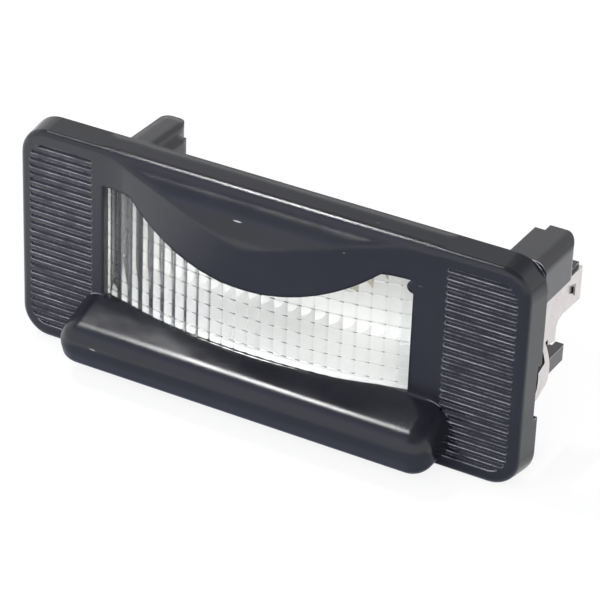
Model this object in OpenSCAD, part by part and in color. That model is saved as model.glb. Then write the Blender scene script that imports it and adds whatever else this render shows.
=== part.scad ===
// Number plate lamp: a moulded housing that clips into a body panel and lights the plate below it.
// Millimetres. The origin is the centre of the flange's rear seat: +X runs along the lamp, +Z is up,
// and the lamp faces -Y, so everything behind the panel has y > 0.

/* [Flange] */
// Length of the flange
flange_l = 110; // [104:1:116]
// Height of the flange
flange_h = 46.5; // [45.5:0.5:50]
// Depth of the flange, from its seat to its face
flange_t = 6; // [5.5:0.25:7]
// Radius of the flange's four corners
flange_r = 6.5; // [4.5:0.5:8]
// Radius of the rounding around the face
edge_r = 1.4; // [0.5:0.1:1.6]
// How much each side leans in from the seat to the face
draft = 0.6; // [0.2:0.1:1]
// Wall of the flange's rim
rim_w = 1.8; // [1.4:0.1:2.2]
// Thickness of the flange's face
face_t = 2; // [1.6:0.1:2.4]

/* [Ribbed panels] */
// Distance from groove to groove
groove_pitch = 1.55; // [1.4:0.05:1.6]
// Width of a groove
groove_w = 0.6; // [0.5:0.1:1]
// Length of the grooves
groove_l = 14; // [13:0.2:14.4]
// Radius of the panels' outer corners
panel_r = 3.6; // [2:0.2:5]
// From the flange's edge to the grooves
panel_margin = 3; // [2.8:0.1:3.4]
// From the grooves to the window
panel_gap = 2.7; // [2.4:0.1:3.2]

/* [Window and visor] */
// Where the window's middle lies along the lamp
window_x = -2; // [-3:0.5:-1]
// From the window's upper edge to the top of the flange
window_margin = 8.45; // [8.25:0.05:9]
// Height of the window
window_h = 23.8; // [22.8:0.1:24.2]
// How far the visor bows out of the face
visor_bow = 5; // [4.8:0.1:5.4]
// How far below the window's upper edge the visor starts to lean back
visor_turn_drop = 1.8; // [1.4:0.1:2.6]
// How far the visor's lowest point hangs below the window's upper edge
visor_drop = 9.7; // [8:0.1:10.6]
// From the ends of the window to the visor's rounded edge, taken together
visor_ends = 13; // [11:0.2:15]
// Where the middle of that rounded edge lies, from the window's middle
visor_shift = 0.3; // [0:0.1:1]
// Radius that blends the visor's ends into the face
visor_blend = 22; // [16:1:26]

/* [Bar] */
// How much longer than the window the bar is
bar_more = 14.6; // [12:0.2:15.4]
// How far the bar stands out of the face
bar_out = 10.4; // [9.6:0.2:12]
// Slope of the bar's upper side, in degrees down to the front
bar_slope = 20; // [16:1:22]
// Height of the bar at the face
bar_h = 11.9; // [11.2:0.1:12.4]
// Radius of all the bar's roundings
bar_r = 4.6; // [4:0.1:5]
// Wall around the hollow inside the bar
bar_wall = 2.6; // [2:0.2:3]

/* [Lens] */
// Thickness of the lens
lens_t = 2; // [1.6:0.1:2.4]
// How far the lens bows out over its length
lens_bow = 4.4; // [4:0.1:4.5]
// How far the ends of the lens lie behind the face
lens_set = 1.6; // [1.5:0.1:2]
// How far the lens goes above the window
lens_over = 0.8; // [0.4:0.1:0.9]
// Number of flutes along the lens
flute_n = 24; // [18:1:30]
// How far the flutes stand out behind the lens
flute_out = 0.25; // [0.15:0.05:0.5]
// Number of cross lines in the lens's front
cross_n = 8; // [5:1:9]
// Width of the cut that makes a cross line
cross_w = 0.2; // [0.15:0.05:0.4]

/* [Chamber] */
// How far the light chamber goes behind the seat
chamber_d = 13; // [12.5:0.5:15]
// Wall of the light chamber
chamber_w = 1.5; // [1.2:0.1:1.6]
// How far below the window's upper edge the chamber's roof is at its back
roof_drop = 2.2; // [1.8:0.1:2.4]
// How far the chamber's floor lies below the window
floor_drop = 1.8; // [1.6:0.1:2]

/* [Rear hook, block and clip] */
// From the window's left end to the hook's inner side
hook_in = 6.9; // [6:0.1:9]
// Width of the hook
hook_w = 5.2; // [4.4:0.2:6]
// How far the hook goes behind the seat
hook_d = 13.2; // [11.4:0.2:14]
// Height of the hook
hook_h = 7; // [6:0.5:7.5]
// Width of the corner block
block_w = 7.8; // [7.4:0.2:8.2]
// How far the corner block goes behind the seat
block_d = 13.4; // [12.6:0.2:14]
// Height of the corner block
block_h = 8.7; // [8.4:0.1:9]
// Thickness of the wall that carries the clip
clip_wall_t = 1.4; // [1.2:0.1:1.6]
// How far that wall goes behind the seat
clip_wall_d = 17.2; // [16.4:0.2:18]
// Height of that wall below the corner block
clip_wall_h = 6.75; // [6.5:0.05:7]
// Thickness of the clip's steel
clip_t = 0.5; // [0.4:0.05:0.6]
// How far the prong goes behind the seat
prong_d = 17; // [13:0.5:17]
// Height of the prong
prong_h = 3.3; // [3:0.1:3.6]

/* [Bulb] */
// Length of the bulb over its caps
bulb_l = 36; // [35.4:0.2:37]
// Diameter of the bulb's glass
bulb_d = 10.4; // [9.6:0.2:10.8]
// Diameter of the bulb's caps
cap_d = 7; // [6.8:0.2:7.6]
// How far below the window's upper edge the bulb's axis is
bulb_drop = 7.2; // [7:0.1:8]
// How far the bulb's axis lies behind the seat
bulb_y = 3.6; // [3:0.2:4.2]

/* [Carrier and contacts] */
// Thickness of the carrier's back
carrier_t = 2; // [1.6:0.1:2.4]
// Thickness of the carrier's floor and roof
carrier_w = 1.2; // [1:0.1:1.4]
// Gap around the carrier in the chamber
carrier_gap = 0.2; // [0.1:0.05:0.3]
// Thickness of the contact strips
strip_t = 0.5; // [0.4:0.05:0.6]
// Width of the contact strips
strip_w = 7.6; // [7:0.1:7.7]
// Width of the blade terminals
blade_w = 6.3; // [4.8:0.1:6.3]
// Thickness of the blade terminals
blade_t = 0.8; // [0.5:0.1:0.8]
// Length of the blade terminals behind the carrier
blade_l = 8; // [6:0.5:8]
// Radius of the rivets
rivet_r = 1.1; // [0.9:0.1:1.2]

/* [Hidden] */

$fn = 64;
// Extra length that lets a cut pass through a surface
over = 1;
// Clearance around a part that drops into a pocket
fit = 0.1;

face_y = -flange_t;
root_y = face_y + face_t / 2;
half_l = flange_l / 2;
half_h = flange_h / 2;
side_top = half_h - draft;
side_right = half_l - draft;
groove_n = floor((flange_h - 2 * panel_margin - groove_w) / groove_pitch) + 1;
window_l = 2 * (half_l + window_x - panel_margin - groove_l - panel_gap);
window_a = window_x - window_l / 2;
window_b = window_x + window_l / 2;
window_top = half_h - window_margin;
window_low = window_top - window_h;

// Radius of an arc from its chord and its rise
function arc_r(chord, rise) = (chord * chord / 4 + rise * rise) / (2 * rise);

// Visor: its bow would just touch the blends at its ends, and is made a little wider to cross them
visor_reach = 0.3;
visor_touch_r = arc_r(window_l, visor_bow) - visor_blend;
visor_half = sqrt(2 * visor_touch_r * visor_bow - visor_bow * visor_bow) + visor_reach;
visor_r = arc_r(2 * visor_half, visor_bow);
visor_front = face_y - visor_bow;
visor_turn = window_top - visor_turn_drop;
visor_low = window_top - visor_drop;
visor_rise = side_top - edge_r - visor_turn;
visor_lean_r = arc_r(2 * visor_rise, visor_bow);
visor_l = window_l - visor_ends;
visor_cut_r = arc_r(visor_l, visor_drop);
lug_r = 1.3;

// Bar: it grows out of the face's full thickness, and its sloping top meets the face at the window
bar_top = window_low;
bar_low = bar_top - bar_h;
bar_l = window_l + bar_more;
bar_rear = face_y + face_t;
bar_depth = bar_out + face_t;
// The tilted slab stays this far inside the level one, and reaches so far from the face along its slope
bar_inset = 0.1;
bar_tilted = (bar_out - bar_inset - bar_r) / cos(bar_slope) + bar_r * (1 + tan(bar_slope));

// Lens: an arc parallel to the visor, standing on the chamber's floor
lens_l = window_l - 2 * fit;
lens_r = arc_r(window_l, lens_bow);
lens_front = face_y + lens_set - lens_bow;
lens_centre_y = lens_front + lens_r;
floor_z = window_low - floor_drop;
lens_low = floor_z + fit;
lens_high = window_top + lens_over;
lens_h = lens_high - lens_low;
roof_z = lens_high + fit;
roof_back = window_top - roof_drop;

// Height of the chamber's roof at y, w above it
function roof(y, w) = (y < 0 ? roof_z : roof_z + (roof_back - roof_z) * y / chamber_d) + w;

// Carrier: lines the chamber behind the lens and closes its back
carrier_back = chamber_d;
carrier_front = carrier_back - carrier_t;
carrier_l = window_l - 2 * carrier_gap;
snap_x = 20;
snap_l = 6;
snap_y = 8;
snap_d = 2.4;
snap_h = 0.8;

// Hook: a rounded post with a ledge on its inner side
hook_x = window_a + hook_in;
hook_r = 1.8;
ledge_w = 1.4;
ledge_drop = 2.2;
ledge_d = hook_d - 2.8;

// Corner block: an outer part, and a step on its inner side that is less deep
block_low = side_top - block_h;
block_step_x = half_l - 6.4;
block_step_d = 11.2;
block_r = 2.4;
block_wall = 1.5;
block_roof = 1.9;

// Clip wall, prong and notch, hanging from the block's underside
clip_wall_x = half_l - 3.1;
clip_wall_low = block_low - clip_wall_h;
prong_drop = 20.45;
prong_low = block_low - prong_drop;
prong_w = 5.4;
prong_tip_w = 1.8;
prong_tip_l = 1.6;
prong_r = 0.4;
notch_d = 1.3;
notch_drop = 23.1;
notch_low = block_low - notch_drop;
notch_h = 11.2;

// Clip: its legs to both sides of the wall, and how far its outer leg and its tongue go
clip_gap = 0.05;
clip_top_gap = 0.2;
clip_more = 0.3;
clip_out = clip_wall_x + clip_wall_t + clip_gap;
clip_in = clip_wall_x - clip_gap - clip_t;
clip_front = 2.2;
clip_fold = clip_wall_d + clip_gap;
clip_top = block_low - clip_top_gap;
clip_low = clip_wall_low - clip_more;
tongue_r = 15;
tongue_drop = 15.2;
tongue_out = 0.95;
barb_drop = 4.35;
barb_h = 1.6;
barb_y = 15.4;
barb_l = 1.7;
barb_out = 1.1;
barb_t = 0.3;

// Bulb and contacts, measured along the lamp from the bulb's middle
bulb_z = window_top - bulb_drop;
cone_a = bulb_l / 2 - 3;
cap_a = cone_a - 4.4;
neck_end = cone_a - 1.6;
neck_r = 3.1;
glass_half = cap_a - 0.6;
glass_r = 4;
glass_w = 0.5;
cone_r1 = 3;
cone_r2 = 1.2;
cap_w = 0.3;
lead_r = 0.25;
lead_gap = 0.16;
lead_end = cone_a - cap_w;
filament_l = 2 * glass_half - 9;
filament_bow = 1.5;
filament_r = 0.35;
strip_x = bulb_l / 2 - 1.4;
strip_hole_r = 2.15;
foot_l = 7.6;
foot_x = strip_x + strip_t - foot_l;
rivet_x = strip_x + strip_t - 3.9;
head_r = 1.9;
head_h = 0.8;
blade_tip = 1;

// Places a profile drawn as (y, z) and runs it along +X from x
module along_x(x, len) {
  translate([x, 0, 0]) rotate([90, 0, 90]) linear_extrude(len) children();
}

// Places a profile drawn as (x, z) and runs it forward, from y to y - len
module forward(y, len) {
  translate([0, y, 0]) rotate([90, 0, 0]) linear_extrude(len) children();
}

// Places a profile drawn as (x, y) and runs it up from z
module up(z, len) {
  translate([0, 0, z]) linear_extrude(len) children();
}

// A rectangle with round corners, around the origin
module round_rect(l, h, r) {
  square([l - 2 * r, h], center = true);
  square([l, h - 2 * r], center = true);
  for (x = [-1, 1], z = [-1, 1]) translate([x * (l / 2 - r), z * (h / 2 - r)]) circle(r);
}

// A rectangle from a to b with its corner at b rounded
module corner_rect(a, b, r) {
  translate(a) square([b[0] - a[0] - r, b[1] - a[1]]);
  translate(a) square([b[0] - a[0], b[1] - a[1] - r]);
  translate([b[0] - r, b[1] - r]) circle(r);
}

// A square block from its two corners
module box(a, b) {
  translate(a) cube([b[0] - a[0], b[1] - a[1], b[2] - a[2]]);
}

// Section of the flange's edge: outwards in u, forward from the seat in v
module edge_section() {
  shoulder = flange_r - draft - edge_r;
  polygon([[0, 0], [flange_r, 0], [flange_r - draft, flange_t - edge_r], [shoulder, flange_t], [0, flange_t]]);
  translate([shoulder, flange_t - edge_r]) circle(edge_r);
}

// The flange's outer form, with leaning sides and a rounded face edge
module flange_block() {
  straight_l = flange_l - 2 * flange_r;
  straight_h = flange_h - 2 * flange_r;
  for (x = [0, 1], z = [0, 1]) mirror([x, 0, 0]) mirror([0, 0, z])
    translate([straight_l / 2, 0, straight_h / 2]) rotate([90, 0, 0]) rotate_extrude(angle = 90) edge_section();
  for (z = [0, 1]) mirror([0, 0, z])
    translate([-straight_l / 2, 0, straight_h / 2]) rotate([0, -90, 180]) linear_extrude(straight_l) edge_section();
  for (x = [0, 1]) mirror([x, 0, 0])
    translate([straight_l / 2, 0, straight_h / 2]) rotate([180, 0, 0]) linear_extrude(straight_h) edge_section();
  forward(0, flange_t) square([straight_l, straight_h], center = true);
}

// Plan of the visor: a bow with a hollow rounding at each end, so that it grows smoothly out of the face
module visor_plan() {
  intersection() {
    translate([window_x, visor_front + visor_r]) circle(visor_r, $fn = 256);
    translate([window_a, visor_front]) square([window_l, visor_bow + face_t]);
  }
  blend_l = window_l / 2 * visor_blend / (visor_touch_r + visor_blend) + visor_reach / 2;
  for (x = [-1, 1]) translate([window_x + x * window_l / 2, face_y]) mirror([x < 0 ? 1 : 0, 0]) difference() {
    translate([-blend_l, -visor_bow / 2]) square([blend_l, visor_bow / 2 + face_t / 2]);
    translate([0, -visor_blend]) circle(visor_blend, $fn = 256);
  }
}

// Side view of the visor, as (y, z): upright, then leaning back to the top of the face
module visor_side() {
  translate([visor_front, visor_low]) square([visor_bow + face_t, visor_turn - visor_low]);
  intersection() {
    translate([visor_front + visor_lean_r, visor_turn]) circle(visor_lean_r, $fn = 128);
    translate([visor_front, visor_turn]) square([visor_bow + face_t, visor_rise]);
  }
}

// The visor's outer form
module visor_block() {
  intersection() {
    up(visor_low, flange_h) visor_plan();
    along_x(window_a, window_l) visor_side();
  }
}

// A slab whose front, front corners and upper edge are rounded by r, seen from its rear middle
module nosed_slab(l, depth, h, r) {
  half = l / 2 - r;
  forward(0, depth - r) nosed_profile(l / 2, h, r);
  mirror([1, 0, 0]) forward(0, depth - r) nosed_profile(l / 2, h, r);
  translate([-half, 0, 0]) rotate([90, 0, 90]) linear_extrude(2 * half) mirror([1, 0]) nosed_profile(depth, h, r);
  for (x = [0, 1]) mirror([x, 0, 0])
    translate([half, r - depth, 0]) rotate([0, 0, -90]) rotate_extrude(angle = 90) nosed_profile(r, h, r);
}

// Half a section of such a slab, with its upper side at zero
module nosed_profile(w, h, r) {
  translate([0, -h]) square([w, h - r]);
  intersection() {
    translate([w - r, -r]) circle(r);
    translate([0, -2 * r]) square([w, 2 * r]);
  }
  if (w > r) translate([0, -2 * r]) square([w - r, 2 * r]);
}

// The bar: a slab with a sloping top, and one that rounds its lower side
module bar() {
  reach = 2 * bar_h;
  intersection() {
    translate([0, bar_rear, bar_low]) mirror([0, 0, 1]) nosed_slab(bar_l, bar_depth, reach, bar_r);
    translate([0, face_y, bar_top]) rotate([bar_slope, 0, 0]) translate([0, bar_h, 0])
      nosed_slab(bar_l - 2 * bar_inset, bar_h + bar_tilted, reach, bar_r);
  }
}

// The hollow inside the bar, open to the back
module bar_core() {
  end_wall = bar_wall + 1;
  nose_wall = bar_wall + 0.4;
  half = bar_l / 2 - end_wall;
  core_top = floor_z - chamber_w - bar_wall / 2;
  box([-half, face_y - bar_out + nose_wall, bar_low + bar_wall], [half, bar_rear + over, core_top]);
}

// Plan of the light chamber's inside, from the lens's front to its back
module cavity_plan() {
  intersection() {
    translate([window_x, lens_centre_y - fit]) circle(lens_r, $fn = 256);
    translate([window_a, lens_front - over]) square([window_l, chamber_d - lens_front + 2 * over]);
  }
}

// Side view of the light chamber's inside, as (y, z), grown by w
module cavity_side(w, back) {
  polygon([[lens_front - over, floor_z - w], [back, floor_z - w], [back, roof(back, w)],
           [0, roof_z + w], [lens_front - over, roof_z + w]]);
}

// What is hollow behind the visor and the face
module cavity() {
  intersection() {
    along_x(window_a, window_l) cavity_side(0, chamber_d + over);
    up(bar_low, flange_h) cavity_plan();
  }
}

// The opening that the lens is seen through, with the lug in its corner
module window_cut() {
  reach = flange_t + visor_bow + over;
  forward(lens_front + lens_bow, reach) difference() {
    translate([window_a, window_low]) square([window_l, window_top - window_low]);
    translate([window_x + visor_shift, visor_low + visor_cut_r]) circle(visor_cut_r, $fn = 256);
    translate([window_b, window_top - lug_r]) circle(lug_r);
  }
}

// The grooves of one end panel, at the right end
module grooves() {
  outer = half_l - panel_margin;
  span = (groove_n - 1) * groove_pitch + groove_w;
  intersection() {
    forward(face_y + over, 2 * over)
      translate([outer - flange_l / 4, 0]) round_rect(flange_l / 2, span, panel_r);
    for (i = [0 : groove_n - 1])
      translate([outer - groove_l, face_y, (i - (groove_n - 1) / 2) * groove_pitch])
        rotate([45, 0, 0]) translate([0, -groove_w / 2, -groove_w / 2]) cube([groove_l, groove_w, groove_w]);
  }
}

// The chamber's walls behind the face
module chamber_walls() {
  along_x(window_a - chamber_w, window_l + 2 * chamber_w) intersection() {
    cavity_side(chamber_w, chamber_d);
    translate([root_y, -half_h]) square([chamber_d - root_y, flange_h]);
  }
}

// The windows in the chamber's floor that the carrier's snaps click into
module snap_windows() {
  for (x = [-1, 1]) translate([window_x + x * snap_x, 0, 0])
    box([-snap_l / 2 - fit, snap_y - fit, floor_z - chamber_w - over], [snap_l / 2 + fit, snap_y + snap_d + fit, floor_z + over]);
}

// The hook behind the left half of the flange, with its ledge
module hook() {
  low = side_top - hook_h;
  middle = hook_x - hook_w / 2;
  up(low, hook_h) {
    corner_rect([middle, root_y], [hook_x, hook_d], hook_r);
    translate([2 * middle, 0]) mirror([1, 0]) corner_rect([middle, root_y], [hook_x, hook_d], hook_r);
  }
  box([middle, root_y, low], [hook_x + ledge_w, ledge_d, side_top - ledge_drop]);
}

// The block at the flange's upper right corner, hollow from behind, with its root inside the flange
module corner_block() {
  left = side_right - block_w;
  difference() {
    intersection() {
      forward(block_d, block_d) corner_rect([left, block_low], [side_right, side_top], block_r);
      up(block_low, block_h) {
        corner_rect([block_step_x, 0], [side_right, block_d], block_r);
        translate([left, 0]) square([block_w / 2, block_step_d]);
      }
    }
    box([block_step_x + block_wall, block_wall, block_low + block_wall],
        [side_right - block_wall, block_d + over, side_top - block_roof]);
  }
  box([left, root_y, block_low], [half_l - rim_w + fit, block_wall / 2, side_top - block_r - draft]);
}

// The wall that the clip is pushed on, and the prong below it
module clip_wall() {
  box([clip_wall_x, root_y, clip_wall_low], [clip_wall_x + clip_wall_t, clip_wall_d, block_low + block_wall / 2]);
  up(prong_low, prong_h) {
    corner_rect([clip_wall_x - prong_w, root_y], [clip_wall_x, prong_d - prong_tip_l], prong_r);
    corner_rect([clip_wall_x - prong_tip_w, root_y], [clip_wall_x, prong_d], prong_r);
  }
}

module housing() {
  color("#26262a") difference() {
    union() {
      difference() {
        flange_block();
        forward(over, flange_t - face_t + over)
          round_rect(flange_l - 2 * rim_w, flange_h - 2 * rim_w, flange_r - rim_w);
      }
      visor_block();
      bar();
      chamber_walls();
      hook();
      corner_block();
      clip_wall();
    }
    cavity();
    window_cut();
    snap_windows();
    bar_core();
    box([half_l - rim_w - over, -notch_d, notch_low], [half_l + over, over, notch_low + notch_h]);
    grooves();
    mirror([1, 0, 0]) grooves();
  }
}

module lens() {
  pitch = lens_l / flute_n;
  flute_r = arc_r(pitch, flute_out);
  back_r = lens_r - lens_t;
  step = 2 * asin(lens_l / 2 / lens_r) / flute_n;
  cross_gap = lens_h / (cross_n + 1);
  color("#dfe5e6", 0.5) difference() {
    intersection() {
      up(lens_low, lens_h) difference() {
        translate([window_x, lens_centre_y]) circle(lens_r, $fn = 256);
        difference() {
          translate([window_x, lens_centre_y]) circle(back_r, $fn = 256);
          for (i = [0 : flute_n - 1]) translate([window_x, lens_centre_y]) rotate((i + 0.5 - flute_n / 2) * step)
            translate([0, flute_out - flute_r - back_r]) circle(flute_r);
        }
      }
      box([window_x - lens_l / 2, lens_front - over, lens_low], [window_x + lens_l / 2, lens_front + lens_bow + lens_t, lens_high]);
    }
    for (i = [1 : cross_n]) translate([window_x, lens_centre_y, lens_low + i * cross_gap])
      rotate([0, 0, 180]) rotate_extrude($fn = 256) translate([lens_r, 0]) rotate(45) square(cross_w, center = true);
  }
}

// Side view of the clip's outer leg, as (y, z), with z from the block's underside
module clip_leg_side() {
  polygon([[clip_front, -clip_top_gap], [clip_fold, -clip_top_gap], [clip_fold, clip_low - block_low], [10.3, -6.75],
           [8.4, -7.35], [7.8, -8.35], [7.8, -11.25], [4.6, -10.55], [4.6, -9.35], [clip_front, -9.35]]);
}

// Side view of the tongue below that leg, which ends in a rounded tip
module clip_tongue_side() {
  polygon([[clip_front, -9.35], [clip_front, -12.9], [-0.6, -13.7], [-0.6, -20.5], [1, -21.1], [2.3, -21],
           [2.7, -19.4], [4, -18.2], [4.1, -13.95], [3.7, -9.35]]);
}

// The tongue: a strip that bows out through the rim's notch
module clip_tongue() {
  centre_x = clip_out + clip_t + tongue_out - tongue_r;
  intersection() {
    forward(clip_wall_d, clip_wall_d + over) translate([centre_x, block_low - tongue_drop]) difference() {
      circle(tongue_r, $fn = 256);
      circle(tongue_r - clip_t, $fn = 256);
    }
    translate([0, 0, block_low]) along_x(clip_in, half_l) clip_tongue_side();
  }
}

// The clip: folded around its wall, with a stepped outer leg and a small barb
module spring_clip() {
  leg_h = clip_top - clip_low;
  color("#c9c6c2") {
    translate([0, 0, block_low]) along_x(clip_out, clip_t) clip_leg_side();
    along_x(clip_in, clip_t) translate([clip_front, clip_low]) square([clip_fold - clip_front, leg_h]);
    up(clip_low, leg_h) translate([clip_in, clip_fold]) square([clip_out - clip_in + clip_t, clip_t]);
    clip_tongue();
    up(block_low - barb_drop, barb_h) polygon([[clip_out, barb_y], [clip_out + clip_t, barb_y],
      [clip_out + barb_out, barb_y - barb_l], [clip_out + barb_out - barb_t, barb_y - barb_l], [clip_out, barb_y - 2 * barb_t]]);
  }
}

// Side view of the carrier, as (y, z), moved in by w
module carrier_side(front, back, w) {
  polygon([[front, floor_z + w], [back, floor_z + w], [back, roof(back, -w)], [0, roof_z - w], [front, roof_z - w]]);
}

// The carrier: a white channel with a hole for each rivet and a slot for each blade
module bulb_carrier() {
  g = carrier_gap;
  color("#e9e7e2") difference() {
    union() {
      intersection() {
        along_x(window_x - carrier_l / 2, carrier_l) difference() {
          carrier_side(lens_front, carrier_back, g);
          carrier_side(lens_front - over, carrier_front, g + carrier_w);
        }
        up(-half_h, flange_h) translate([window_x, lens_centre_y]) circle(lens_r - lens_t - flute_out - g, $fn = 256);
      }
      for (x = [-1, 1]) along_x(window_x + x * snap_x - snap_l / 2, snap_l)
        polygon([[snap_y, floor_z + g + carrier_w / 2], [snap_y, floor_z + g], [snap_y + snap_d / 2, floor_z - snap_h],
                 [snap_y + snap_d, floor_z - snap_h], [snap_y + snap_d, floor_z + g + carrier_w / 2]]);
    }
    for (x = [-1, 1]) translate([window_x, 0, bulb_z]) {
      forward(carrier_back + over, carrier_t + 2 * over) translate([x * rivet_x, 0]) circle(rivet_r + fit / 2);
      forward(carrier_back + over, carrier_t + 2 * over)
        translate([x * (foot_x + blade_t / 2), 0]) square([blade_t + 2 * fit, blade_w + 2 * fit], center = true);
    }
  }
}

// The right contact: an upright strip that holds the bulb, its foot behind the bulb, and the blade
module contact() {
  blade_end = carrier_back + blade_l;
  color("#b9b48f") translate([window_x, 0, bulb_z]) {
    difference() {
      along_x(strip_x, strip_t) {
        translate([bulb_y, 0]) circle(d = strip_w);
        translate([bulb_y, -strip_w / 2]) square([carrier_front - bulb_y, strip_w]);
      }
      along_x(strip_x - over, strip_t + 2 * over) translate([bulb_y, 0]) circle(strip_hole_r);
    }
    difference() {
      forward(carrier_front, strip_t) translate([foot_x, -strip_w / 2]) square([foot_l, strip_w]);
      forward(carrier_front + over, strip_t + 2 * over) translate([rivet_x, 0]) circle(rivet_r + fit / 2);
    }
    up(-blade_w / 2, blade_w) translate([foot_x, carrier_front - strip_t])
      polygon([[0, 0], [blade_t, 0], [blade_t, blade_end - carrier_front + strip_t - blade_tip],
               [blade_t * 0.7, blade_end - carrier_front + strip_t], [blade_t * 0.3, blade_end - carrier_front + strip_t],
               [0, blade_end - carrier_front + strip_t - blade_tip]]);
  }
}

// The right rivet, with a head on both sides
module rivet() {
  front = carrier_front - strip_t;
  color("#b9b48f") translate([window_x + rivet_x, 0, bulb_z]) {
    forward(carrier_back, carrier_back - front) circle(rivet_r);
    forward(front, head_h) circle(head_r);
    forward(carrier_back + head_h, head_h) circle(head_r);
  }
}

// Turns a profile drawn as (radius, length) around the bulb's axis
module around_bulb() {
  translate([window_x, bulb_y, bulb_z]) rotate([0, 90, 0]) rotate_extrude() children();
}

// Half the outline of the bulb's glass, moved in by w
module glass_outline(w, end) {
  intersection() {
    union() {
      round_rect(bulb_d - 2 * w, 2 * glass_half - 2 * w, glass_r - w);
      square([2 * neck_r - 2 * w, 2 * end], center = true);
    }
    translate([0, -end]) square([bulb_d, 2 * end]);
  }
}

module bulb_glass() {
  color("#f2f4f4", 0.4) around_bulb() difference() {
    glass_outline(0, neck_end);
    glass_outline(glass_w, neck_end + over);
  }
}

// The right cap: a cup that ends in a cone
module bulb_cap() {
  color("#c8c8c6") around_bulb() difference() {
    polygon([[0, cap_a], [cap_d / 2, cap_a], [cap_d / 2, cone_a], [cone_r1, cone_a], [cone_r2, bulb_l / 2], [0, bulb_l / 2]]);
    translate([0, cap_a - over]) square([cap_d / 2 - cap_w, lead_end - cap_a + over]);
  }
}

// The filament: a bowed coil, drawn as a rod
module bulb_filament() {
  r = arc_r(filament_l, filament_bow);
  half_a = asin(filament_l / 2 / r);
  color("#70706c") translate([window_x, bulb_y, bulb_z - r + filament_bow])
    rotate([90, 0, 0]) rotate([0, 0, 90 - half_a]) rotate_extrude(angle = 2 * half_a) translate([r, 0]) circle(filament_r);
}

// The right lead, from the cap to the filament
module lead() {
  start = filament_l / 2 + lead_gap;
  color("#70706c") translate([window_x + start, bulb_y, bulb_z]) rotate([0, 90, 0]) cylinder(r = lead_r, h = lead_end - start);
}

// Puts a copy of a right-hand piece at the left of the window's middle
module on_the_left() {
  translate([2 * window_x, 0, 0]) mirror([1, 0, 0]) children();
}

module contact_left() { on_the_left() contact(); }
module contact_right() { contact(); }
module rivet_left() { on_the_left() rivet(); }
module rivet_right() { rivet(); }
module bulb_cap_left() { on_the_left() bulb_cap(); }
module bulb_cap_right() { bulb_cap(); }
module lead_left() { on_the_left() lead(); }
module lead_right() { lead(); }

housing();
lens();
spring_clip();
bulb_carrier();
contact_left();
contact_right();
rivet_left();
rivet_right();
bulb_glass();
bulb_cap_left();
bulb_cap_right();
bulb_filament();
lead_left();
lead_right();
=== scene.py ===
"""Dresses the number plate lamp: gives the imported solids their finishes, and sets up floor, lamps and camera.

Everything is in metres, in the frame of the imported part: +X along the lamp, +Z up, and the lamp faces -Y.
"""

import logging
import math
from dataclasses import dataclass
from enum import Enum
from typing import Any

import bmesh
import bpy
from mathutils import Matrix, Vector

LOG = logging.getLogger("plate_lamp")
MM = 0.001
WHITE = (1.0, 1.0, 1.0, 1.0)
# Width of the picture that the camera's focal length is given for
IMAGE_PX = 600

# A Mix node names its sockets alike for every kind of data, so they are known by number
COLOUR_A, COLOUR_B, COLOUR_MIXED = 6, 7, 2
VECTOR_A, VECTOR_B, VECTOR_MIXED = 4, 5, 1
# How rough each finer layer of noise is, and the range that noise nearly always stays in
NOISE_ROUGHNESS = 0.55
NOISE_LOW, NOISE_HIGH = 0.3, 0.7
# Rays for a rounded edge: a wide rounding that mirrors a lamp needs more than a narrow one
EDGE_SAMPLES, SOFT_SAMPLES, CREST_SAMPLES = 4, 6, 16

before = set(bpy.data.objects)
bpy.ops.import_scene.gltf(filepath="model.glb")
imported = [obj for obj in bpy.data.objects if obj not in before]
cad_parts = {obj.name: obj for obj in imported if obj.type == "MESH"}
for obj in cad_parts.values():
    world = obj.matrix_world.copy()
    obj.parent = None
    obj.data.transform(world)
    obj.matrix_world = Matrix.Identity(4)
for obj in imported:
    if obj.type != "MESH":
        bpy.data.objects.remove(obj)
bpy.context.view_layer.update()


def linear(hex_colour: str) -> tuple[float, float, float, float]:
    """Turns an sRGB hex colour into Blender's linear one.

    Args:
        hex_colour: six hex digits, such as "2a2b2e".

    Returns:
        Red, green, blue and an alpha of 1.
    """
    channels = [int(hex_colour[i : i + 2], 16) / 255 for i in (0, 2, 4)]
    lin = [c / 12.92 if c <= 0.04045 else ((c + 0.055) / 1.055) ** 2.4 for c in channels]
    return (lin[0], lin[1], lin[2], 1.0)


def per_mm(size_mm: float) -> float:
    """Texture scale at which one feature is size_mm wide, on Object coordinates in metres."""
    return 1.0 / (size_mm * MM)


def add_node(
    tree: bpy.types.NodeTree,
    kind: str,
    values: dict[str | int, Any] | None = None,
    links: dict[str | int, bpy.types.NodeSocket] | None = None,
    **settings: Any,
) -> bpy.types.Node:
    """Adds one node with its settings, its values and the sockets that feed it.

    Args:
        tree: the node tree that it goes into.
        kind: Blender's name for the node's type.
        values: input name or number to its fixed value.
        links: input name or number to the socket that feeds it.
        settings: the node's own properties.

    Returns:
        The new node.
    """
    node = tree.nodes.new(kind)
    for name, value in settings.items():
        setattr(node, name, value)
    for key, value in (values or {}).items():
        node.inputs[key].default_value = value
    for key, socket in (links or {}).items():
        tree.links.new(socket, node.inputs[key])
    return node


class Making(Enum):
    """How a metal piece was made: how much finer its lines are along X, Y and Z."""

    ROLLED = (1.0, 0.05, 1.0)
    SPUN = (1.0, 0.1, 0.1)
    DRAWN = (0.05, 1.0, 1.0)
    TURNED = (0.3, 1.0, 0.3)


@dataclass(frozen=True)
class Pattern:
    """Noise with features of a real size.

    Attributes:
        size_mm: how wide a feature is.
        detail: how many finer layers it has.
        stretch: how much finer it is along X, Y and Z: a low number draws it out.
    """

    size_mm: float
    detail: float
    stretch: tuple[float, float, float] = (1.0, 1.0, 1.0)


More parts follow.
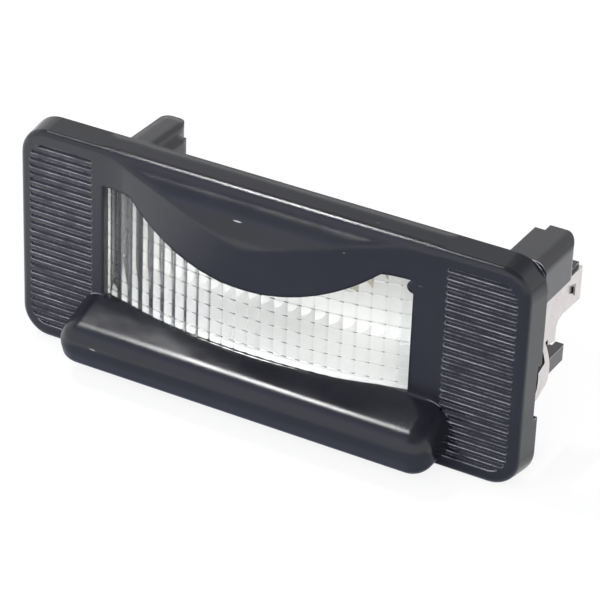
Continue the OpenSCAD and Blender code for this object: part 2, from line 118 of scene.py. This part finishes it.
@dataclass(frozen=True)
class Finish:
    """What every finish has in common.

    Attributes:
        name: the real material, and how its surface was made.
        colour: its sRGB hex colour.
        roughness: its middle roughness.
    """

    name: str
    colour: str
    roughness: float

    def start(self) -> tuple[bpy.types.Material, bpy.types.NodeTree, bpy.types.Node, bpy.types.Node]:
        """Makes the material with an empty shader.

        Returns:
            The material, its node tree, its shader and its texture coordinates.
        """
        material = bpy.data.materials.new(self.name)
        material.use_nodes = True
        tree = material.node_tree
        tree.nodes.clear()
        shader = add_node(
            tree, "ShaderNodeBsdfPrincipled", {"Base Color": linear(self.colour), "Roughness": self.roughness}
        )
        add_node(tree, "ShaderNodeOutputMaterial", links={"Surface": shader.outputs["BSDF"]})
        place = add_node(tree, "ShaderNodeTexCoord")
        return material, tree, shader, place

    def noise(
        self, tree: bpy.types.NodeTree, place: bpy.types.Node, pattern: Pattern
    ) -> bpy.types.NodeSocket:
        """Adds a pattern.

        Args:
            tree: the material's node tree.
            place: its texture coordinates.
            pattern: the size and kind of its features.

        Returns:
            The noise's factor.
        """
        mapped = add_node(
            tree, "ShaderNodeMapping", {"Scale": pattern.stretch}, {"Vector": place.outputs["Object"]}
        )
        made = add_node(
            tree, "ShaderNodeTexNoise",
            {"Scale": per_mm(pattern.size_mm), "Detail": pattern.detail, "Roughness": NOISE_ROUGHNESS},
            {"Vector": mapped.outputs["Vector"]},
        )
        return made.outputs["Fac"]

    def spread(
        self, tree: bpy.types.NodeTree, factor: bpy.types.NodeSocket, low: float, high: float
    ) -> bpy.types.NodeSocket:
        """Turns noise into a value from low to high.

        Args:
            tree: the material's node tree.
            factor: the noise.
            low: what the noise's lower end becomes.
            high: what its upper end becomes.

        Returns:
            The new value.
        """
        made = add_node(
            tree, "ShaderNodeMapRange",
            {"From Min": NOISE_LOW, "From Max": NOISE_HIGH, "To Min": low, "To Max": high}, {"Value": factor},
        )
        return made.outputs["Result"]


@dataclass(frozen=True)
class MouldedPlastic(Finish):
    """An injection-moulded surface: a fine grain, a slow change of gloss, and soft edges.

    Attributes:
        colour_worn: the colour where it has been handled.
        edge_mm: radius of the mould's smallest roundings.
        grain_depth_mm: height of the grain.
        grain: the grain, much coarser than a polished mould's, so that it shows.
        patches: where it has been handled.
        worn_share: how far the worn colour comes through there.
        smears: where its gloss changes, drawn out along the lamp.
        gloss_range: how far the roughness goes to both sides.
        ior: its index of refraction.
        soft_mm: radius of the softer roundings between the ribbed panels, or 0 for none, and then also no
            painted highlight on the ribs and no scratches.
        crest_mm: radius with which the visor runs into the flange's upper edge.
        crest_z_mm: the heights between which that radius comes in.
        ribs_x_mm: the distances from the lamp's middle between which the ribbed panels come in.
        rib_highlight_mm: how wide a band along the ribs' upper edges takes the painted highlight.
        rib_highlight_rise: how much an edge faces upwards where the painted highlight begins and where it is
            full.
        highlight_and_scratch_colour: the colour of the painted highlight on the ribs and of the scratches.
        rib_highlight_breaks: where the painted highlight on the ribs is stronger or weaker, drawn out along
            them.
        rib_highlight_most: how strong the painted highlight is where that is most.
        scratches: the few scratches from handling, drawn out along the lamp.
        scratch_ends: the part of their noise over which a scratch comes in.
        scratch_most: how strongly a scratch shows.
    """

    colour_worn: str
    edge_mm: float
    grain_depth_mm: float
    grain: Pattern = Pattern(0.25, 3.0)
    patches: Pattern = Pattern(14.0, 3.0)
    worn_share: float = 0.6
    smears: Pattern = Pattern(3.0, 4.0, (0.35, 1.0, 1.0))
    gloss_range: float = 0.06
    ior: float = 1.5
    soft_mm: float = 0.0
    crest_mm: float = 2.2
    crest_z_mm: tuple[float, float] = (19.0, 20.0)
    ribs_x_mm: tuple[float, float] = (35.0, 37.0)
    # Painted highlight: the ribs' upward-facing edges are coloured lighter, where a lamp above would catch them
    rib_highlight_mm: float = 0.5
    rib_highlight_rise: tuple[float, float] = (0.2, 0.5)
    highlight_and_scratch_colour: str = "d0ced8"
    rib_highlight_breaks: Pattern = Pattern(1.8, 4.0, (0.45, 1.0, 1.0))
    rib_highlight_most: float = 1.6
    scratches: Pattern = Pattern(0.8, 1.0, (0.12, 1.0, 1.0))
    scratch_ends: tuple[float, float] = (0.8, 0.84)
    scratch_most: float = 0.5

    def ribbed(self, tree: bpy.types.NodeTree, place: bpy.types.Node) -> bpy.types.NodeSocket:
        """Adds a factor that is 1 on the ribbed panels.

        Args:
            tree: the material's node tree.
            place: its texture coordinates.

        Returns:
            The factor.
        """
        along = add_node(tree, "ShaderNodeSeparateXYZ", links={0: place.outputs["Object"]}).outputs["X"]
        out = add_node(tree, "ShaderNodeMath", links={0: along}, operation="ABSOLUTE")
        begins, full = (x * MM for x in self.ribs_x_mm)
        return add_node(
            tree, "ShaderNodeMapRange", {"From Min": begins, "From Max": full}, {"Value": out.outputs[0]}
        ).outputs["Result"]

    def rib_highlight(
        self, tree: bpy.types.NodeTree, place: bpy.types.Node, ribs: bpy.types.NodeSocket
    ) -> bpy.types.NodeSocket:
        """Adds a factor for the painted highlight on the ribs' upward-facing edges, broken up by noise.

        Args:
            tree: the material's node tree.
            place: its texture coordinates.
            ribs: where the ribbed panels are.

        Returns:
            The factor: 1 where the painted highlight is full.
        """
        # Where the rounded normal turns upwards more than the true one, the edge gets the painted highlight
        wide = add_node(tree, "ShaderNodeBevel", {"Radius": self.rib_highlight_mm * MM}, samples=EDGE_SAMPLES)
        true = add_node(tree, "ShaderNodeNewGeometry")
        turned = add_node(
            tree, "ShaderNodeVectorMath", links={0: wide.outputs["Normal"], 1: true.outputs["True Normal"]},
            operation="SUBTRACT",
        )
        rise = add_node(tree, "ShaderNodeSeparateXYZ", links={0: turned.outputs["Vector"]}).outputs["Z"]
        begins, full = self.rib_highlight_rise
        edge = add_node(tree, "ShaderNodeMapRange", {"From Min": begins, "From Max": full}, {"Value": rise})
        highlight_and_scratch_share = self.spread(tree, self.noise(tree, place, self.rib_highlight_breaks), 0.0, self.rib_highlight_most)
        share = edge.outputs["Result"]
        for other in (ribs, highlight_and_scratch_share):
            both = add_node(tree, "ShaderNodeMath", links={0: share, 1: other}, operation="MULTIPLY")
            share = both.outputs[0]
        return share

    def soften(
        self, tree: bpy.types.NodeTree, place: bpy.types.Node, edge: bpy.types.NodeSocket
    ) -> bpy.types.NodeSocket:
        """Rounds the edges between the ribbed panels more, and the visor's run into the flange most.

        Args:
            tree: the material's node tree.
            place: its texture coordinates.
            edge: the normal with the smallest roundings, which stays on the ribbed panels.

        Returns:
            The normal.
        """
        softer = add_node(tree, "ShaderNodeBevel", {"Radius": self.soft_mm * MM}, samples=SOFT_SAMPLES)
        crest = add_node(tree, "ShaderNodeBevel", {"Radius": self.crest_mm * MM}, samples=CREST_SAMPLES)
        height = add_node(tree, "ShaderNodeSeparateXYZ", links={0: place.outputs["Object"]}).outputs["Z"]
        begins, full = (z * MM for z in self.crest_z_mm)
        share = add_node(
            tree, "ShaderNodeMapRange", {"From Min": begins, "From Max": full}, {"Value": height}
        ).outputs["Result"]
        normals = {VECTOR_A: softer.outputs["Normal"], VECTOR_B: crest.outputs["Normal"]}
        middle = add_node(tree, "ShaderNodeMix", links={0: share, **normals}, data_type="VECTOR")
        normals = {VECTOR_A: middle.outputs[VECTOR_MIXED], VECTOR_B: edge}
        both = add_node(
            tree, "ShaderNodeMix", links={0: self.ribbed(tree, place), **normals}, data_type="VECTOR"
        )
        return both.outputs[VECTOR_MIXED]

    def add_rib_highlights_and_scratches(
        self, tree: bpy.types.NodeTree, place: bpy.types.Node, colour: bpy.types.NodeSocket
    ) -> bpy.types.NodeSocket:
        """Adds the painted highlight on the ribs' upper edges, and a few scratches, to the colour.

        Args:
            tree: the material's node tree.
            place: its texture coordinates.
            colour: the colour without them.

        Returns:
            The colour.
        """
        scratches = self.noise(tree, place, self.scratches)
        begins, full = self.scratch_ends
        scratched = add_node(
            tree, "ShaderNodeMapRange", {"From Min": begins, "From Max": full, "To Max": self.scratch_most},
            {"Value": scratches},
        )
        # Painted highlight on the ribs, and the real scratches, both in the lighter colour
        highlight_and_scratch_share = add_node(
            tree, "ShaderNodeMath",
            links={0: self.rib_highlight(tree, place, self.ribbed(tree, place)), 1: scratched.outputs["Result"]},
            operation="MAXIMUM",
        )
        highlighted_and_scratched = add_node(
            tree, "ShaderNodeMix", {COLOUR_B: linear(self.highlight_and_scratch_colour)},
            {0: highlight_and_scratch_share.outputs[0], COLOUR_A: colour}, data_type="RGBA",
        )
        return highlighted_and_scratched.outputs[COLOUR_MIXED]

    def build(self) -> bpy.types.Material:
        """Builds the material."""
        material, tree, shader, place = self.start()
        handled = self.spread(tree, self.noise(tree, place, self.patches), 0.0, self.worn_share)
        mixed = add_node(
            tree, "ShaderNodeMix", {COLOUR_A: linear(self.colour), COLOUR_B: linear(self.colour_worn)},
            {0: handled}, data_type="RGBA",
        )
        colour = mixed.outputs[COLOUR_MIXED]
        edge = add_node(tree, "ShaderNodeBevel", {"Radius": self.edge_mm * MM}, samples=EDGE_SAMPLES)
        normal = edge.outputs["Normal"]
        if self.soft_mm > 0:
            # Painted highlight on the ribs' upper edges, and scratches
            colour = self.add_rib_highlights_and_scratches(tree, place, colour)
            normal = self.soften(tree, place, normal)
        tree.links.new(colour, shader.inputs["Base Color"])
        smears = self.noise(tree, place, self.smears)
        low, high = self.roughness - self.gloss_range, self.roughness + self.gloss_range
        gloss = self.spread(tree, smears, low, high)
        tree.links.new(gloss, shader.inputs["Roughness"])
        bump = add_node(
            tree, "ShaderNodeBump", {"Distance": self.grain_depth_mm * MM},
            {"Height": self.noise(tree, place, self.grain), "Normal": normal},
        )
        tree.links.new(bump.outputs["Normal"], shader.inputs["Normal"])
        shader.inputs["IOR"].default_value = self.ior
        return material


@dataclass(frozen=True)
class Metal(Finish):
    """Drawn or plated metal, with fine lines along one direction.

    Attributes:
        colour_dull: the colour of its duller patches.
        making: how it was made, which gives the lines' direction.
        line_mm: width of the lines: real ones are finer, and these are as coarse as they need to show.
        line_detail: how many finer layers the lines have.
        depth_mm: depth of the lines.
        patches: where it is duller.
        gloss_range: how far the roughness goes to both sides.
    """

    colour_dull: str
    making: Making = Making.ROLLED
    line_mm: float = 0.15
    line_detail: float = 2.0
    depth_mm: float = 0.0015
    patches: Pattern = Pattern(2.5, 3.0)
    gloss_range: float = 0.08

    def build(self) -> bpy.types.Material:
        """Builds the material."""
        material, tree, shader, place = self.start()
        lines = self.noise(tree, place, Pattern(self.line_mm, self.line_detail, self.making.value))
        patches = self.noise(tree, place, self.patches)
        mixed = add_node(
            tree, "ShaderNodeMix", {COLOUR_A: linear(self.colour), COLOUR_B: linear(self.colour_dull)},
            {0: self.spread(tree, patches, 0.0, 1.0)}, data_type="RGBA",
        )
        tree.links.new(mixed.outputs[COLOUR_MIXED], shader.inputs["Base Color"])
        low, high = self.roughness - self.gloss_range, self.roughness + self.gloss_range
        gloss = self.spread(tree, patches, low, high)
        tree.links.new(gloss, shader.inputs["Roughness"])
        bump = add_node(tree, "ShaderNodeBump", {"Distance": self.depth_mm * MM}, {"Height": lines})
        tree.links.new(bump.outputs["Normal"], shader.inputs["Normal"])
        shader.inputs["Metallic"].default_value = 1.0
        return material


@dataclass(frozen=True)
class Clear(Finish):
    """A clear moulding or blown glass, with slow ripples from its making.

    Attributes:
        ior: its index of refraction.
        ripples: the ripples.
        ripple_depth_mm: height of the ripples.
        dust: where dust makes it rougher.
        dust_range: how much rougher it is there.
        prism_mm: distance between the upright prisms at the lens's left end, or 0 for none.
        prism_depth_mm: height of those prisms.
        prism_ends_mm: where along the lamp they fade out, and where they are at their full height.
        prism_frost: how much rougher the surface is where they are at their full height.
        edge_mm: radius of the roundings on its moulded lines, or 0 for crisp ones.
    """

    ior: float
    ripples: Pattern
    ripple_depth_mm: float
    dust: Pattern = Pattern(1.2, 4.0)
    dust_range: float = 0.05
    prism_mm: float = 0.0
    prism_depth_mm: float = 0.07
    prism_ends_mm: tuple[float, float] = (-4.0, -26.0)
    prism_frost: float = 0.12
    edge_mm: float = 0.0

    def prisms(
        self, tree: bpy.types.NodeTree, place: bpy.types.Node
    ) -> tuple[bpy.types.NodeSocket, bpy.types.NodeSocket]:
        """Adds the upright prisms, which fade out along the lamp.

        Args:
            tree: the material's node tree.
            place: its texture coordinates.

        Returns:
            Their height, from -1 to 1, and how fully they are there, from 0 to 1.
        """
        along = add_node(tree, "ShaderNodeSeparateXYZ", links={0: place.outputs["Object"]}).outputs["X"]
        faded, full = (x * MM for x in self.prism_ends_mm)
        share = add_node(tree, "ShaderNodeMapRange", {"From Min": faded, "From Max": full}, {"Value": along})
        turn = 2 * math.pi * per_mm(self.prism_mm)
        turns = add_node(tree, "ShaderNodeMath", {1: turn}, {0: along}, operation="MULTIPLY")
        wave = add_node(tree, "ShaderNodeMath", links={0: turns.outputs[0]}, operation="SINE")
        height = add_node(
            tree, "ShaderNodeMath", links={0: wave.outputs[0], 1: share.outputs["Result"]},
            operation="MULTIPLY",
        )
        return height.outputs[0], share.outputs["Result"]

    def build(self) -> bpy.types.Material:
        """Builds the material."""
        material, tree, shader, place = self.start()
        ripples = self.noise(tree, place, self.ripples)
        bump = add_node(tree, "ShaderNodeBump", {"Distance": self.ripple_depth_mm * MM}, {"Height": ripples})
        if self.edge_mm > 0:
            soft = add_node(tree, "ShaderNodeBevel", {"Radius": self.edge_mm * MM}, samples=EDGE_SAMPLES)
            tree.links.new(soft.outputs["Normal"], bump.inputs["Normal"])
        dusty = self.noise(tree, place, self.dust)
        gloss = self.spread(tree, dusty, self.roughness, self.roughness + self.dust_range)
        if self.prism_mm > 0:
            height, share = self.prisms(tree, place)
            bump = add_node(
                tree, "ShaderNodeBump", {"Distance": self.prism_depth_mm * MM},
                {"Height": height, "Normal": bump.outputs["Normal"]},
            )
            frost = add_node(tree, "ShaderNodeMath", {1: self.prism_frost}, {0: share}, operation="MULTIPLY")
            frosted = add_node(tree, "ShaderNodeMath", links={0: gloss, 1: frost.outputs[0]}, operation="ADD")
            gloss = frosted.outputs[0]
        tree.links.new(bump.outputs["Normal"], shader.inputs["Normal"])
        tree.links.new(gloss, shader.inputs["Roughness"])
        shader.inputs["IOR"].default_value = self.ior
        shader.inputs["Transmission Weight"].default_value = 1.0
        clear = add_node(tree, "ShaderNodeBsdfTransparent", {"Color": linear(self.colour)})
        path = add_node(tree, "ShaderNodeLightPath")
        lets_light_in = add_node(
            tree, "ShaderNodeMixShader",
            links={0: path.outputs["Is Shadow Ray"], 1: shader.outputs["BSDF"], 2: clear.outputs["BSDF"]},
        )
        output = next(node for node in tree.nodes if node.type == "OUTPUT_MATERIAL")
        tree.links.new(lets_light_in.outputs["Shader"], output.inputs["Surface"])
        return material


# Black ABS from a polished mould: deep, slightly bluish, and glossy enough to mirror the room softly
BLACK_ABS = MouldedPlastic(
    "black_ABS_polished_mould", "13141a", 0.2, colour_worn="191a22", edge_mm=0.3, grain_depth_mm=0.0006,
    gloss_range=0.05, ior=1.54, soft_mm=1.1,
)
# Acrylic from a polished mould: water-clear, with a faint ripple, and prisms that spread the light at its
# left end, as far apart as the solid's flutes: 66.6 mm in 24
CLEAR_PMMA = Clear(
    "clear_PMMA_moulded", "fbfcfb", 0.01, ior=1.49, ripples=Pattern(6.0, 1.0), ripple_depth_mm=0.01,
    prism_mm=2.77, edge_mm=0.15,
)
# White PBT from a matt mould: warm white that bounces the lamp's light
WHITE_PBT = MouldedPlastic(
    "white_PBT_matt_mould", "f2f1ef", 0.5, colour_worn="eae8e4", edge_mm=0.1, grain_depth_mm=0.003,
    grain=Pattern(0.3, 3.0),
)
# Cold-rolled spring steel: bright and even, with lines along the strip
SPRING_STEEL = Metal("spring_steel_cold_rolled", "cbc8c7", 0.25, colour_dull="c3bcb8", gloss_range=0.03)
# Tinned brass strip: satin, pale and slightly yellow
TINNED_BRASS = Metal("tinned_brass_strip", "d9d4c4", 0.35, colour_dull="c6beaa")
# Turned aluminium: pale and satin
RIVET_ALUMINIUM = Metal("aluminium_rivet", "d4d5d6", 0.35, colour_dull="bfc0c1", making=Making.TURNED)
# Nickel-plated brass cap: warm and bright, spun
NICKEL_CAP = Metal("nickel_plated_cap", "d2cdc6", 0.22, colour_dull="bdb6ac", making=Making.SPUN)
# Drawn tungsten wire: dark grey
TUNGSTEN = Metal("tungsten_wire", "6b6a6a", 0.4, colour_dull="55514e", making=Making.DRAWN)
# Blown soda-lime glass: thin and clear
BULB_GLASS = Clear(
    "soda_lime_glass_blown", "ffffff", 0.0, ior=1.52, ripples=Pattern(4.0, 1.0), ripple_depth_mm=0.004
)


def dress(node: str, material: bpy.types.Material) -> None:
    """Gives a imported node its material.

    Args:
        node: the node's name.
        material: what it is made of.
    """
    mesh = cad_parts[node].data
    mesh.materials.clear()
    mesh.materials.append(material)
    LOG.info("%s: %s", node, material.name)


@dataclass
class Housing:
    """The black moulding, with everything that is one piece with it."""

    finish: MouldedPlastic = BLACK_ABS

    def build(self) -> None:
        """Dresses the housing."""
        dress("housing", self.finish.build())


@dataclass
class Optics:
    """The lens and the white carrier behind it."""

    lens: Clear = CLEAR_PMMA
    carrier: MouldedPlastic = WHITE_PBT

    def build(self) -> None:
        """Dresses the lens and the carrier."""
        dress("lens", self.lens.build())
        dress("bulb_carrier", self.carrier.build())


@dataclass
class Bulb:
    """The festoon bulb."""

    glass: Clear = BULB_GLASS
    cap: Metal = NICKEL_CAP
    wire: Metal = TUNGSTEN

    def build(self) -> None:
        """Dresses the glass, the caps and the wires."""
        dress("bulb_glass", self.glass.build())
        cap = self.cap.build()
        wire = self.wire.build()
        for node in ("bulb_cap_left", "bulb_cap_right"):
            dress(node, cap)
        for node in ("bulb_filament", "lead_left", "lead_right"):
            dress(node, wire)


@dataclass
class Metalwork:
    """The spring clip, the contacts and their rivets."""

    clip: Metal = SPRING_STEEL
    contact: Metal = TINNED_BRASS
    rivet: Metal = RIVET_ALUMINIUM

    def build(self) -> None:
        """Dresses the clip, the contacts and the rivets."""
        dress("spring_clip", self.clip.build())
        contact = self.contact.build()
        rivet = self.rivet.build()
        for side in ("left", "right"):
            dress(f"contact_{side}", contact)
            dress(f"rivet_{side}", rivet)


@dataclass(frozen=True)
class Lamp:
    """One rectangular lamp, aimed at the object.

    Attributes:
        name: what it does.
        towards: the direction it stands in, seen from the object.
        distance: how far away it stands, in metres.
        size: its width and height, in metres.
        power: its power in watts.
        colour: its sRGB hex colour.
        mirrored: whether glossy surfaces show it.
    """

    name: str
    towards: tuple[float, float, float]
    distance: float
    size: tuple[float, float]
    power: float
    colour: str = "ffffff"
    mirrored: bool = True

    def hang(self) -> None:
        """Hangs the lamp."""
        data = bpy.data.lights.new(self.name, "AREA")
        data.shape = "RECTANGLE"
        data.size, data.size_y = self.size
        data.energy = self.power
        data.color = linear(self.colour)[:3]
        lamp = bpy.data.objects.new(self.name, data)
        lamp.visible_glossy = self.mirrored
        bpy.context.scene.collection.objects.link(lamp)
        direction = Vector(self.towards).normalized()
        lamp.location = direction * self.distance
        lamp.rotation_euler = (-direction).to_track_quat("-Z", "Y").to_euler()


@dataclass
class Studio:
    """The pale floor, the white room and the lamps.

    Attributes:
        floor_z: height of the floor, under the flange's lower edge.
        floor_half: half the floor's width.
        paper: the floor's sRGB hex colour.
        floor_white: how much of what the camera sees of the floor is plain white.
        floor_shade: how far the floor is painted darker and bluer where a surface mirrors it: a painted shade
            that only glossy rays see.
        mirrored_shade_colour: the sRGB hex colour of that painted shade.
        mirrored_shade_x: where the painted shade begins and is full, along the lamp.
        mirrored_shade_y: where it begins and is full, from the lamp's back towards its front.
        ambient: the room's light on everything that isn't seen or mirrored.
        walls: how bright the room's walls are where a surface mirrors them.
        ceiling: how bright its ceiling is there.
        ceiling_from: the heights, in a direction of length 1, between which the ceiling comes in.
        lamps: the lamps.
    """

    floor_z: float = -23.3 * MM
    floor_half: float = 4.0
    paper: str = "f7f7f7"
    floor_white: float = 0.85
    # Painted shade: the floor that glossy surfaces mirror is darker and bluer in front of the lamp
    floor_shade: float = 0.6
    mirrored_shade_colour: str = "3a4a86"
    mirrored_shade_x: tuple[float, float] = (-80 * MM, -35 * MM)
    mirrored_shade_y: tuple[float, float] = (0.0, -10 * MM)
    ambient: float = 0.55
    walls: float = 1.0
    ceiling: float = 0.3
    ceiling_from: tuple[float, float] = (0.55, 0.8)
    lamps: tuple[Lamp, ...] = (
        Lamp("key_overhead", (-0.4155, 0.0439, 0.9085), 0.8, (0.14, 0.04), 2.2),
        Lamp("sky_left", (-0.4155, -0.4985, 0.7609), 1.2, (0.7, 0.5), 0.6, "c0caff"),
        Lamp("fill_left", (-0.3, -0.88, 0.6), 1.5, (0.9, 0.7), 9.6, "eef2ff", mirrored=False),
        Lamp("fill_right", (0.45, -0.88, 0.6), 1.2, (1.0, 0.8), 10.2, mirrored=False),
    )

    def seen(self, tree: bpy.types.NodeTree, path: bpy.types.Node) -> bpy.types.NodeSocket:
        """Adds a factor that is 1 for what is seen directly or through something clear.

        Args:
            tree: the node tree that it goes into.
            path: the kind of ray.

        Returns:
            The factor.
        """
        return add_node(
            tree, "ShaderNodeMath",
            links={0: path.outputs["Is Camera Ray"], 1: path.outputs["Is Transmission Ray"]},
            operation="MAXIMUM",
        ).outputs[0]

    def build_world(self) -> None:
        """Makes the room: white where seen, walls and ceiling where mirrored, an even light for the rest."""
        world = bpy.data.worlds.new("white_room")
        bpy.context.scene.world = world
        world.use_nodes = True
        tree = world.node_tree
        tree.nodes.clear()
        path = add_node(tree, "ShaderNodeLightPath")
        place = add_node(tree, "ShaderNodeTexCoord")
        height = add_node(tree, "ShaderNodeSeparateXYZ", links={0: place.outputs["Object"]}).outputs["Z"]
        begins, full = self.ceiling_from
        room = add_node(
            tree, "ShaderNodeMapRange",
            {"From Min": begins, "From Max": full, "To Min": self.walls, "To Max": self.ceiling},
            {"Value": height}, interpolation_type="SMOOTHSTEP",
        )
        lit = add_node(
            tree, "ShaderNodeMapRange", {"To Min": self.ambient},
            {"Value": path.outputs["Is Glossy Ray"], "To Max": room.outputs["Result"]},
        )
        strength = add_node(
            tree, "ShaderNodeMapRange",
            links={"Value": self.seen(tree, path), "To Min": lit.outputs["Result"]},
        )
        light = add_node(
            tree, "ShaderNodeBackground", {"Color": WHITE}, {"Strength": strength.outputs["Result"]}
        )
        add_node(tree, "ShaderNodeOutputWorld", links={"Surface": light.outputs["Background"]})

    def mirrored_shade(self, tree: bpy.types.NodeTree, path: bpy.types.Node) -> bpy.types.NodeSocket:
        """Adds how far the floor takes its painted shade where a surface mirrors it: only glossy rays see it.

        Args:
            tree: the floor's node tree.
            path: the kind of ray.

        Returns:
            The share of the shade.
        """
        place = add_node(tree, "ShaderNodeTexCoord")
        floor_at = add_node(tree, "ShaderNodeSeparateXYZ", links={0: place.outputs["Object"]})
        # Painted shade, full in front of the lamp and fading out towards its left
        share = path.outputs["Is Glossy Ray"]
        for axis, (begins, full) in (("X", self.mirrored_shade_x), ("Y", self.mirrored_shade_y)):
            ramp = add_node(
                tree, "ShaderNodeMapRange", {"From Min": begins, "From Max": full},
                {"Value": floor_at.outputs[axis]}, interpolation_type="SMOOTHSTEP",
            )
            both = add_node(
                tree, "ShaderNodeMath", links={0: share, 1: ramp.outputs["Result"]}, operation="MULTIPLY"
            )
            share = both.outputs[0]
        return add_node(
            tree, "ShaderNodeMath", {1: self.floor_shade}, {0: share}, operation="MULTIPLY"
        ).outputs[0]

    def build_floor(self) -> None:
        """Lays the floor."""
        bm = bmesh.new()
        bmesh.ops.create_grid(bm, x_segments=1, y_segments=1, size=self.floor_half)
        bmesh.ops.translate(bm, verts=bm.verts, vec=(0.0, 0.0, self.floor_z))
        mesh = bpy.data.meshes.new("floor")
        bm.to_mesh(mesh)
        bm.free()
        floor = bpy.data.objects.new("floor", mesh)
        bpy.context.scene.collection.objects.link(floor)
        material = bpy.data.materials.new("white_paper")
        material.use_nodes = True
        tree = material.node_tree
        tree.nodes.clear()
        path = add_node(tree, "ShaderNodeLightPath")
        # The paper is painted darker and bluer only where glossy surfaces mirror it
        shaded = add_node(
            tree, "ShaderNodeMix", {COLOUR_A: linear(self.paper), COLOUR_B: linear(self.mirrored_shade_colour)},
            {0: self.mirrored_shade(tree, path)}, data_type="RGBA",
        )
        paper = add_node(tree, "ShaderNodeBsdfDiffuse", links={"Color": shaded.outputs[COLOUR_MIXED]})
        white = add_node(tree, "ShaderNodeEmission", {"Color": WHITE})
        share = add_node(
            tree, "ShaderNodeMath", {1: self.floor_white}, {0: self.seen(tree, path)}, operation="MULTIPLY"
        )
        both = add_node(
            tree, "ShaderNodeMixShader",
            links={0: share.outputs[0], 1: paper.outputs["BSDF"], 2: white.outputs["Emission"]},
        )
        add_node(tree, "ShaderNodeOutputMaterial", links={"Surface": both.outputs["Shader"]})
        mesh.materials.append(material)

    def build(self) -> None:
        """Builds the room, the floor and the lamps."""
        self.build_world()
        self.build_floor()
        for lamp in self.lamps:
            lamp.hang()
        bpy.context.scene.view_settings.view_transform = "Standard"


@dataclass
class ViewCamera:
    """The camera at the photograph's viewing angle.

    Attributes:
        azimuth: turn around the lamp from straight ahead, in degrees.
        elevation: height above the horizon, in degrees.
        roll: turn of the picture, in degrees.
        focal_px: focal length, in pixels of the picture.
        offset_mm: where the lamp's origin lies from the line of sight, and how far away.
        sensor_mm: width of the sensor.
        clip: the nearest and the farthest that it sees, in metres.
    """

    azimuth: float = 28.64
    elevation: float = 29.9
    roll: float = 2.2
    focal_px: float = 2976.5
    offset_mm: tuple[float, float, float] = (-4.17, 1.61, 560.96)
    sensor_mm: float = 36.0
    clip: tuple[float, float] = (0.05, 20.0)

    def build(self) -> None:
        """Places the camera."""
        a, e, r = (math.radians(v) for v in (self.azimuth, self.elevation, self.roll))
        right = Vector((math.cos(a), math.sin(a), 0.0))
        ahead = Vector((-math.sin(a) * math.cos(e), math.cos(a) * math.cos(e), -math.sin(e)))
        up = right.cross(ahead)
        rolled_right = right * math.cos(r) + up * math.sin(r)
        rolled_up = up * math.cos(r) - right * math.sin(r)
        turn = Matrix((rolled_right, rolled_up, -ahead)).transposed().to_4x4()
        x, y, z = (v * MM for v in self.offset_mm)
        data = bpy.data.cameras.new("camera")
        data.sensor_width = self.sensor_mm
        data.lens = self.focal_px / IMAGE_PX * self.sensor_mm
        data.clip_start, data.clip_end = self.clip
        camera = bpy.data.objects.new("camera", data)
        bpy.context.scene.collection.objects.link(camera)
        camera.matrix_world = Matrix.Translation(-(rolled_right * x + rolled_up * y + ahead * z)) @ turn
        bpy.context.scene.camera = camera


def main() -> None:
    """Builds the sub-assemblies in order, then the room and the camera."""
    logging.basicConfig(level=logging.INFO, format="%(name)s: %(message)s")
    for builder in (Housing(), Optics(), Bulb(), Metalwork(), Studio(), ViewCamera()):
        builder.build()
        LOG.info("built %s", type(builder).__name__)


if __name__ == "__main__":
    main()
